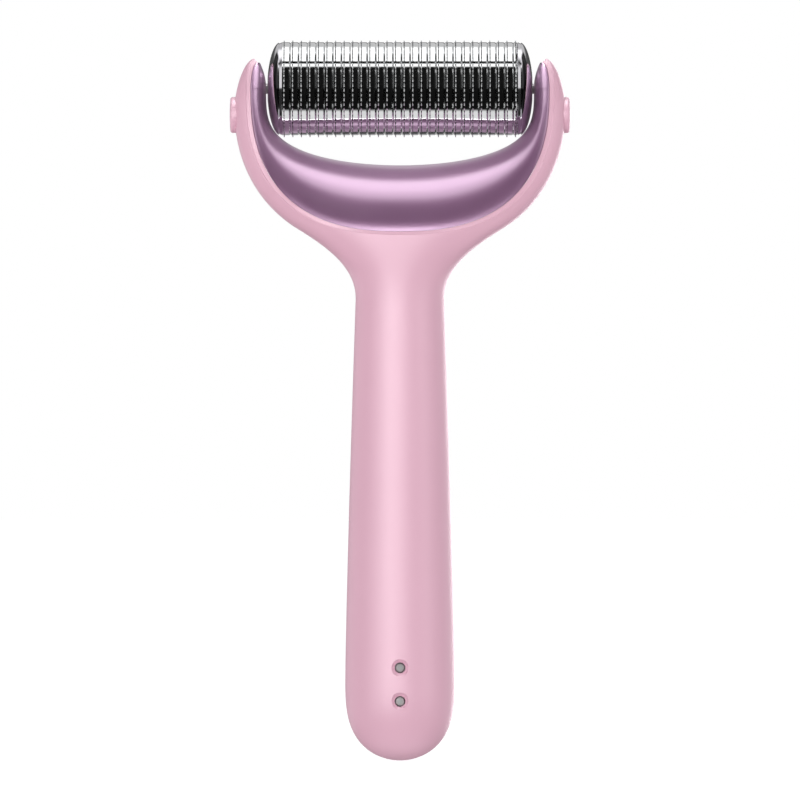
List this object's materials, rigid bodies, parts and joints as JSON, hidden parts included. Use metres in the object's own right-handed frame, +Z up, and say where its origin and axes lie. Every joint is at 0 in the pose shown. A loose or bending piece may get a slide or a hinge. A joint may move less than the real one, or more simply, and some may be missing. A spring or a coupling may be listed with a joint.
{
  "type": "derma roller",
  "caption": "Hand-held needle roller: a drum of needle rings turns in a U-shaped yoke on a rounded, rechargeable handle with side release buttons.",
  "frame": {"origin": "lowest point of the handle's rounded end, under the middle of the object's box", "axes": "+Z up the handle towards the drum, X along the drum's axis, -Y out of the face with the charging contacts, +Y out of the face with the power button"},
  "size_m": [0.0804, 0.0248, 0.1701],
  "materials": {
    "soft_touch_pink": "soft-touch satin paint",
    "mauve_chrome": "mirror-polished tinted plating",
    "needle_steel": "polished",
    "dark_chrome": "polished dark plating",
    "contact_metal": "satin",
    "screw_steel": "zinc plated",
    "white_plastic": "moulded",
    "dark_plastic": "moulded",
    "board_green": "solder mask",
    "battery_wrap": "shrink sleeve",
    "light_pipe": "clear moulded"
  },
  "bodies": {
    "housing": {"back_shell": "soft_touch_pink", "front_shell": "soft_touch_pink", "yoke_saddle": "mauve_chrome", "switch_body": "dark_plastic", "status_light_pipe": "light_pipe", "control_board": "board_green", "battery_cell": "battery_wrap", "motor_can": "screw_steel", "inner_chassis": "white_plastic", "charge_magnet": "screw_steel", "charge_contact_upper": "contact_metal", "charge_contact_lower": "contact_metal", "chassis_screw_1": "screw_steel", "chassis_screw_2": "screw_steel", "chassis_screw_3": "screw_steel", "chassis_screw_4": "screw_steel", "release_spring_left": "screw_steel", "release_spring_right": "screw_steel"},
    "drum": {"needle_ring_01": "needle_steel", "needle_ring_02": "needle_steel", "needle_ring_03": "needle_steel", "needle_ring_04": "needle_steel", "needle_ring_05": "needle_steel", "needle_ring_06": "needle_steel", "needle_ring_07": "needle_steel", "needle_ring_08": "needle_steel", "needle_ring_09": "needle_steel", "needle_ring_10": "needle_steel", "needle_ring_11": "needle_steel", "needle_ring_12": "needle_steel", "needle_ring_13": "needle_steel", "needle_ring_14": "needle_steel", "needle_ring_15": "needle_steel", "needle_ring_16": "needle_steel", "needle_ring_17": "needle_steel", "needle_ring_18": "needle_steel", "needle_ring_19": "needle_steel", "needle_ring_20": "needle_steel", "needle_ring_21": "needle_steel", "needle_ring_22": "needle_steel", "needle_ring_23": "needle_steel", "needle_ring_24": "needle_steel", "needle_ring_25": "needle_steel", "needle_ring_26": "needle_steel", "needle_ring_27": "needle_steel", "needle_ring_28": "needle_steel", "drum_core_tube": "dark_plastic", "end_cap_left": "dark_chrome", "end_cap_right": "dark_chrome", "end_bushing_left": "white_plastic", "end_bushing_right": "white_plastic"},
    "power_button": {"power_button": "soft_touch_pink", "switch_plunger": "white_plastic"},
    "motor_rotor": {"eccentric_weight": "contact_metal"},
    "release_button_left": {"release_button_left": "soft_touch_pink"},
    "release_rocker_left": {"release_rocker_left": "white_plastic"},
    "drum_pin_left": {"drum_pin_left": "screw_steel"},
    "release_button_right": {"release_button_right": "soft_touch_pink"},
    "release_rocker_right": {"release_rocker_right": "white_plastic"},
    "drum_pin_right": {"drum_pin_right": "screw_steel"}
  },
  "joints": [
    {"name": "drum_spin", "type": "hinge", "parent": "housing", "child": "drum", "pos_m": [0, 0, 0.1586], "axis": [1, 0, 0], "continuous": true},
    {"name": "power_button_press", "type": "slide", "parent": "housing", "child": "power_button", "axis": [0, -1, 0], "range_m": [0, 0.0005], "stiffness_N_per_m": 2000},
    {"name": "motor_spin", "type": "hinge", "parent": "housing", "child": "motor_rotor", "pos_m": [0, -0.0036, 0.1097], "axis": [0, 0, 1], "continuous": true},
    {"name": "release_left_press", "type": "slide", "parent": "housing", "child": "release_button_left", "axis": [1, 0, 0], "range_m": [0, 0.0008], "stiffness_N_per_m": 1500, "deforming": ["release_spring_left"]},
    {"name": "release_left_rocker", "type": "hinge", "parent": "housing", "child": "release_rocker_left", "pos_m": [-0.0347, 0, 0.1555], "axis": [0, -1, 0], "range_deg": [0, 15]},
    {"name": "drum_pin_left_retract", "type": "slide", "parent": "housing", "child": "drum_pin_left", "axis": [-1, 0, 0], "range_m": [0, 0.0008]},
    {"name": "release_right_press", "type": "slide", "parent": "housing", "child": "release_button_right", "axis": [-1, 0, 0], "range_m": [0, 0.0008], "stiffness_N_per_m": 1500, "deforming": ["release_spring_right"]},
    {"name": "release_right_rocker", "type": "hinge", "parent": "housing", "child": "release_rocker_right", "pos_m": [0.0347, 0, 0.1555], "axis": [0, 1, 0], "range_deg": [0, 15]},
    {"name": "drum_pin_right_retract", "type": "slide", "parent": "housing", "child": "drum_pin_right", "axis": [1, 0, 0], "range_m": [0, 0.0008]}
  ],
  "couplings": [
    {"joint": "release_left_rocker", "follows": "release_left_press", "rad_per_m": 315.69},
    {"joint": "drum_pin_left_retract", "follows": "release_left_press", "ratio": 1},
    {"joint": "release_right_rocker", "follows": "release_right_press", "rad_per_m": 315.69},
    {"joint": "drum_pin_right_retract", "follows": "release_right_press", "ratio": 1}
  ]
}
